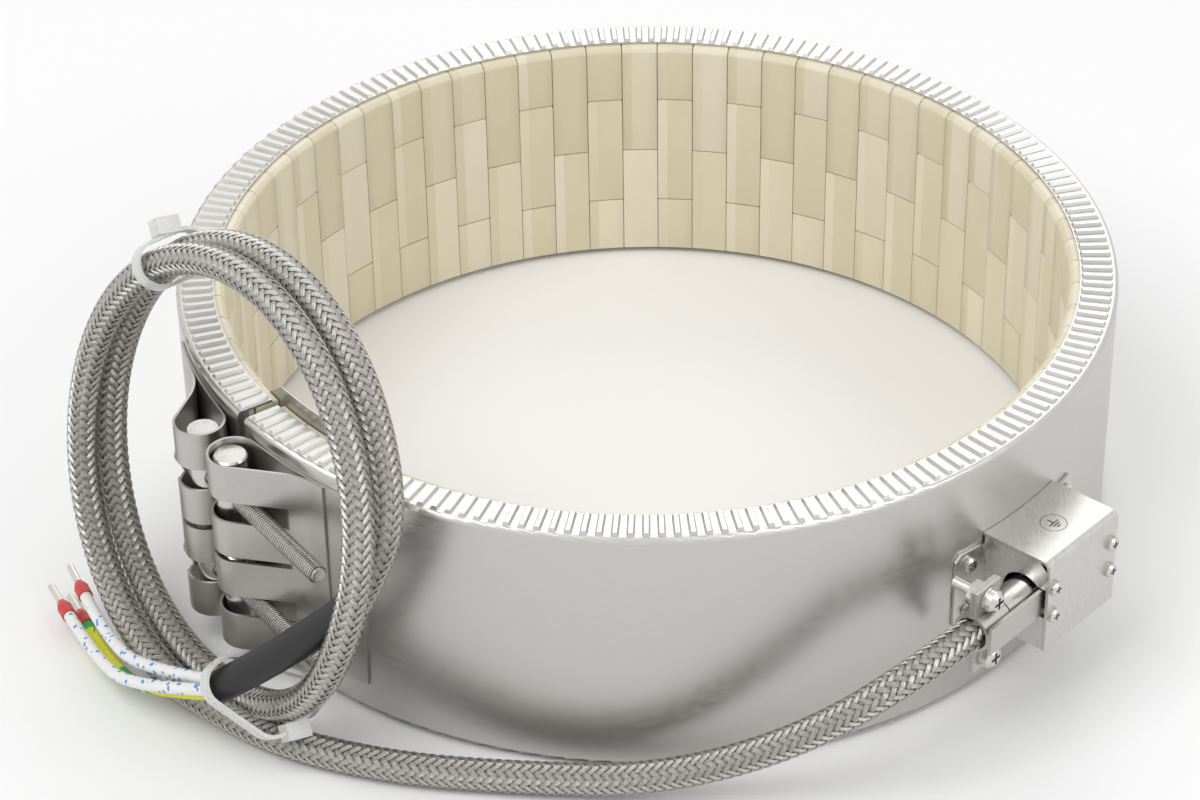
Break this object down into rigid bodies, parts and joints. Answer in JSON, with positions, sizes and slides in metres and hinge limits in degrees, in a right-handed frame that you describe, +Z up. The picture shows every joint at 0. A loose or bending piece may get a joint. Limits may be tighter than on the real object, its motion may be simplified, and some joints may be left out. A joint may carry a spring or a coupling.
{
  "type": "ceramic band heater",
  "caption": "Round ceramic band heater with a ribbed steel shell, bolted strap clamp, terminal box, and a braided cable coiled beside it.",
  "frame": {"origin": "on the ring's axis, in the plane of its lower edge, on which the heater and its cable rest", "axes": "+Z up along the ring's axis; the clamp lies at 214.5 degrees and the terminal box at 317.5 degrees from +X"},
  "size_m": [0.3554, 0.3329, 0.1493],
  "materials": {
    "shell_steel": "brushed",
    "strap_steel": "satin",
    "bolt_steel": "satin",
    "bright_steel": "polished",
    "box_steel": "brushed",
    "ceramic": "matt ceramic",
    "blanket": "fibrous",
    "element": "oxidised",
    "brass": "satin",
    "braid": "woven",
    "boot": "satin",
    "wire_white": "braided glass fibre",
    "wire_earth": "braided glass fibre",
    "ferrule": "gloss",
    "tinned": "satin",
    "tie": "translucent"
  },
  "bodies": {
    "ring": {"barrel_left_lower": "bolt_steel", "barrel_left_upper": "bolt_steel", "barrel_right_lower": "bolt_steel", "barrel_right_upper": "bolt_steel", "box_base": "box_steel", "box_cover": "box_steel", "cable_coil": "braid", "cable_run": "braid", "clip_back": "bright_steel", "clip_front": "bright_steel", "clip_nut_lower": "bright_steel", "clip_nut_upper": "bright_steel", "clip_screw_lower": "bright_steel", "clip_screw_upper": "bright_steel", "cover_screw_left_0": "bright_steel", "cover_screw_left_1": "bright_steel", "cover_screw_right_0": "bright_steel", "cover_screw_right_1": "bright_steel", "ferrule_earth_collar": "ferrule", "ferrule_earth_pin": "tinned", "ferrule_white_lower_collar": "ferrule", "ferrule_white_lower_pin": "tinned", "ferrule_white_upper_collar": "ferrule", "ferrule_white_upper_pin": "tinned", "gap_strip": "strap_steel", "heat_shrink": "boot", "heating_element": "element", "insulation_blanket": "blanket", "lead_pin_0": "brass", "lead_pin_1": "brass", "outlet_sleeve": "bright_steel", "shell": "shell_steel", "strap_left": "strap_steel", "strap_right": "strap_steel", "tab_screw_0": "bright_steel", "tab_screw_1": "bright_steel", "tab_screw_2": "bright_steel", "tab_screw_3": "bright_steel", "terminal_0": "brass", "terminal_1": "brass", "terminal_block": "ceramic", "tie_bottom": "tie", "tie_top": "tie", "tiles_at_gap": "ceramic", "tiles_long_lower": "ceramic", "tiles_long_upper": "ceramic", "tiles_middle": "ceramic", "tiles_short_lower": "ceramic", "tiles_short_upper": "ceramic", "wire_earth": "wire_earth", "wire_white_lower": "wire_white", "wire_white_upper": "wire_white"},
    "washer_lower": {"washer_lower": "bolt_steel"},
    "bolt_lower": {"clamp_bolt_lower": "bolt_steel"},
    "washer_upper": {"washer_upper": "bolt_steel"},
    "bolt_upper": {"clamp_bolt_upper": "bolt_steel"}
  },
  "joints": [
    {"name": "back_out_lower", "type": "slide", "parent": "ring", "child": "washer_lower", "axis": [-0.5664, 0.8241, 0], "range_m": [0, 0.012]},
    {"name": "turn_lower", "type": "hinge", "parent": "washer_lower", "child": "bolt_lower", "pos_m": [-0.14406, -0.08081, 0.0295], "axis": [-0.5664, 0.8241, 0], "range_deg": [0, 4320]},
    {"name": "back_out_upper", "type": "slide", "parent": "ring", "child": "washer_upper", "axis": [-0.5664, 0.8241, 0], "range_m": [0, 0.012]},
    {"name": "turn_upper", "type": "hinge", "parent": "washer_upper", "child": "bolt_upper", "pos_m": [-0.14406, -0.08081, 0.0665], "axis": [-0.5664, 0.8241, 0], "range_deg": [0, 4320]}
  ],
  "couplings": [
    {"joint": "turn_lower", "follows": "back_out_lower", "rad_per_m": 6283.2},
    {"joint": "turn_upper", "follows": "back_out_upper", "rad_per_m": 6283.2}
  ]
}
